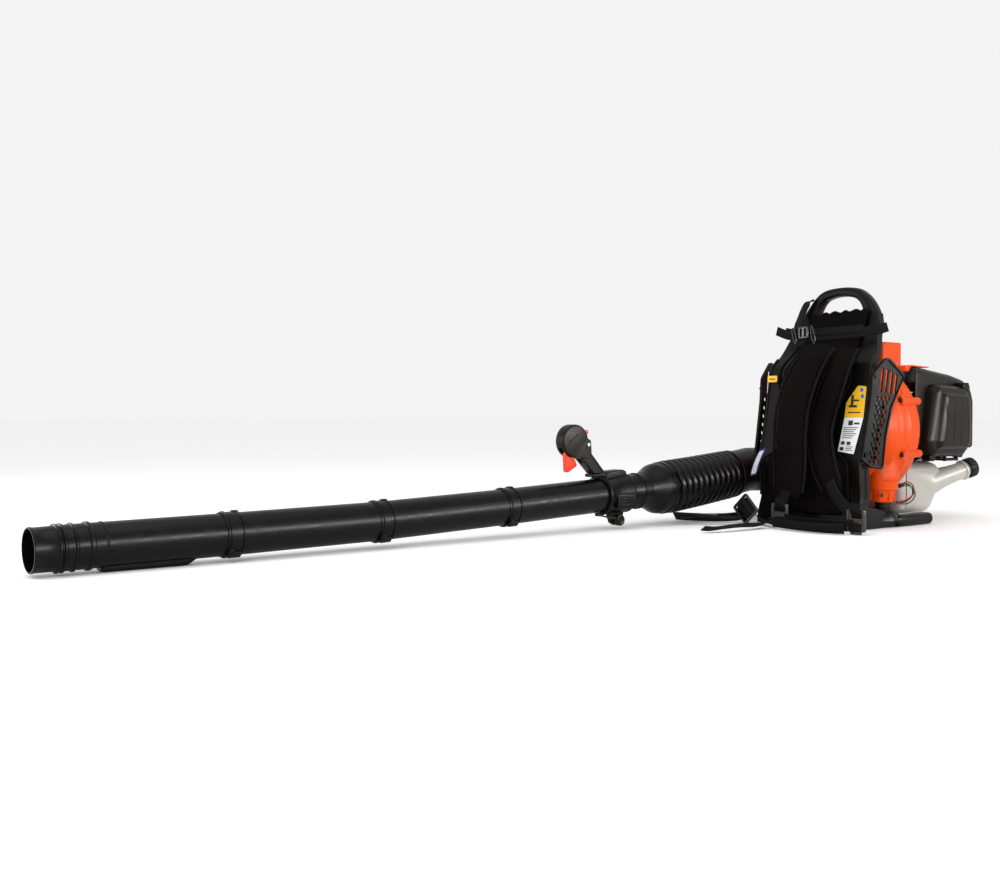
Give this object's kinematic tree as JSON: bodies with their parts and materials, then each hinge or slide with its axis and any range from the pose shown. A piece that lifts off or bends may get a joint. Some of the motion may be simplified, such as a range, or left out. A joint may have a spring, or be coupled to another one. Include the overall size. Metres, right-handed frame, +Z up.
{
  "type": "leaf blower",
  "caption": "Petrol backpack leaf blower: padded harness frame, orange fan housing, engine and tank, corrugated swivel hose, jointed blow pipe with nozzle and a trigger handle.",
  "frame": {"origin": "on the ground under the fan and crank axis, in the plane where the fan housing splits", "axes": "+Z up, -Y the wearer's forward and the way the nozzle points, +Y the engine side, +X the wearer's left"},
  "size_m": [0.471, 1.9909, 0.515],
  "materials": {
    "black_plastic": "satin, lightly grained",
    "dark_grey_plastic": "satin",
    "orange_plastic": "moulded, semi-gloss",
    "red_orange_plastic": "moulded, semi-gloss",
    "black_rubber": "matt",
    "black_fabric": "woven, matt",
    "natural_tank_plastic": "natural, slightly translucent",
    "cast_aluminium": "as cast",
    "steel": "turned",
    "dark_cast_metal": "dark, as cast",
    "filter_foam": "open foam"
  },
  "bodies": {
    "pack": {"backpack_frame": "black_plastic", "right_intake_grille": "dark_grey_plastic", "left_intake_grille": "dark_grey_plastic", "volute_front_half": "orange_plastic", "volute_rear_half": "orange_plastic", "fan_inlet_guard": "steel", "crankcase": "dark_cast_metal", "cylinder": "cast_aluminium", "spark_plug": "cast_aluminium", "spark_plug_boot": "black_rubber", "ignition_coil": "black_rubber", "spark_plug_lead": "black_rubber", "muffler": "dark_cast_metal", "intake_manifold": "black_rubber", "carburettor": "cast_aluminium", "air_filter_base": "dark_grey_plastic", "air_filter_element": "filter_foam", "engine_cover": "dark_grey_plastic", "starter_housing": "black_plastic", "fuel_tank": "natural_tank_plastic", "fuel_line": "black_rubber", "anti_vibration_mount_left": "black_rubber", "anti_vibration_mount_right": "black_rubber", "stop_switch_wire": "black_rubber", "back_pad": "black_fabric", "shoulder_strap_right": "black_fabric", "shoulder_strap_left": "black_fabric", "top_cross_strap": "black_fabric", "waist_belt_right": "black_fabric", "waist_belt_left": "black_fabric", "waist_slide_buckle": "black_plastic", "ladder_lock_right": "black_plastic", "ladder_lock_left": "black_plastic"},
    "rotor": {"impeller": "black_plastic", "fan_nut": "steel", "crankshaft": "steel", "flywheel": "cast_aluminium"},
    "piston_body": {"piston": "cast_aluminium"},
    "starter_grip": {"starter_handle": "black_rubber"},
    "starter_reel": {"starter_pulley": "black_plastic"},
    "filter_lid": {"air_filter_cover": "dark_grey_plastic"},
    "filter_latch": {"filter_cover_latch": "dark_grey_plastic"},
    "tank_cap": {"fuel_cap": "black_plastic"},
    "choke": {"choke_lever": "black_plastic"},
    "throttle_arm": {"carb_throttle_lever": "cast_aluminium"},
    "primer": {"primer_bulb": "black_rubber"},
    "elbow": {"swivel_elbow": "black_plastic", "hose_bellows_rear": "black_rubber"},
    "hose_front": {"hose_bellows_front": "black_rubber"},
    "first_pipe": {"swivel_pipe": "black_plastic"},
    "second_pipe": {"middle_pipe": "black_plastic"},
    "third_pipe": {"front_pipe": "black_plastic"},
    "tip": {"nozzle": "black_plastic"},
    "handle": {"handle_clamp_ring": "black_plastic", "control_handle_right_half": "black_plastic", "control_handle_left_half": "black_plastic", "handle_screw": "steel"},
    "clamp": {"clamp_lever": "black_plastic"},
    "trigger": {"throttle_trigger": "red_orange_plastic"},
    "cruise": {"cruise_lever": "red_orange_plastic"}
  },
  "joints": [
    {"name": "rotor_spin", "type": "hinge", "parent": "pack", "child": "rotor", "pos_m": [0, 0, 0.205], "axis": [0, 1, 0], "continuous": true},
    {"name": "piston_stroke", "type": "slide", "parent": "pack", "child": "piston_body", "axis": [0, 0, 1], "range_m": [-0.008, 0.01]},
    {"name": "starter_pull", "type": "slide", "parent": "pack", "child": "starter_grip", "axis": [-1, 0, 0], "range_m": [0, 0.08], "stiffness_N_per_m": 60, "springref_m": -0.02},
    {"name": "starter_reel_turn", "type": "hinge", "parent": "pack", "child": "starter_reel", "pos_m": [0, 0.285, 0.205], "axis": [0, -1, 0], "range_deg": [0, 120]},
    {"name": "filter_cover_off", "type": "slide", "parent": "pack", "child": "filter_lid", "axis": [1, 0, 0], "range_m": [0, 0.05]},
    {"name": "filter_latch_open", "type": "hinge", "parent": "filter_lid", "child": "filter_latch", "pos_m": [0.138, 0.205, 0.1385], "axis": [0, -1, 0], "range_deg": [0, 70]},
    {"name": "fuel_cap_turn", "type": "hinge", "parent": "pack", "child": "tank_cap", "pos_m": [0.117, 0.318, 0.1155], "axis": [0.3688, 0.8868, 0.2786], "range_deg": [0, 300]},
    {"name": "choke_turn", "type": "hinge", "parent": "pack", "child": "choke", "pos_m": [0.082, 0.203, 0.268], "axis": [0, 1, 0], "range_deg": [0, 30]},
    {"name": "carb_throttle_turn", "type": "hinge", "parent": "pack", "child": "throttle_arm", "pos_m": [0.072, 0.1575, 0.278], "axis": [0, 1, 0], "range_deg": [0, 60.5]},
    {"name": "primer_press", "type": "slide", "parent": "pack", "child": "primer", "axis": [0, 0, 1], "range_m": [0, 0.004], "stiffness_N_per_m": 250, "springref_m": -0.001},
    {"name": "elbow_raise", "type": "hinge", "parent": "pack", "child": "elbow", "pos_m": [-0.168, 0.002, 0.11], "axis": [-1, 0, 0], "range_deg": [0, 60]},
    {"name": "hose_bend", "type": "hinge", "parent": "elbow", "child": "hose_front", "pos_m": [-0.22, -0.2275, 0.0888], "axis": [0, 0, 1], "range_deg": [-12, 12], "stiffness_Nm_per_rad": 4},
    {"name": "tube_roll", "type": "hinge", "parent": "hose_front", "child": "first_pipe", "pos_m": [-0.22, -0.33, 0.079], "axis": [0, -0.9989, -0.0464], "range_deg": [-35, 35]},
    {"name": "middle_pipe_twist", "type": "hinge", "parent": "first_pipe", "child": "second_pipe", "pos_m": [-0.22, -0.765, 0.0588], "axis": [0, -0.9993, -0.0375], "range_deg": [0, 20]},
    {"name": "front_pipe_twist", "type": "hinge", "parent": "second_pipe", "child": "third_pipe", "pos_m": [-0.22, -1.053, 0.048], "axis": [0, -0.9999, -0.016], "range_deg": [0, 20]},
    {"name": "nozzle_twist", "type": "hinge", "parent": "third_pipe", "child": "tip", "pos_m": [-0.22, -1.34, 0.0434], "axis": [0, -0.9999, -0.0122], "range_deg": [0, 20]},
    {"name": "handle_slide", "type": "slide", "parent": "first_pipe", "child": "handle", "axis": [0, -0.9989, -0.0464], "range_m": [0, 0.1]},
    {"name": "clamp_lever_open", "type": "hinge", "parent": "handle", "child": "clamp", "pos_m": [-0.22, -0.472, 0.0175], "axis": [1, 0, 0], "range_deg": [0, 25]},
    {"name": "trigger_squeeze", "type": "hinge", "parent": "handle", "child": "trigger", "pos_m": [-0.22, -0.605, 0.158], "axis": [1, 0, 0], "range_deg": [0, 15], "stiffness_Nm_per_rad": 0.25, "springref_deg": -5.73},
    {"name": "cruise_lever_turn", "type": "hinge", "parent": "handle", "child": "cruise", "pos_m": [-0.22, -0.57, 0.197], "axis": [-1, 0, 0], "range_deg": [0, 20]}
  ],
  "couplings": [
    {"joint": "starter_reel_turn", "follows": "starter_pull", "rad_per_m": 25},
    {"joint": "carb_throttle_turn", "follows": "trigger_squeeze", "ratio": 4}
  ]
}
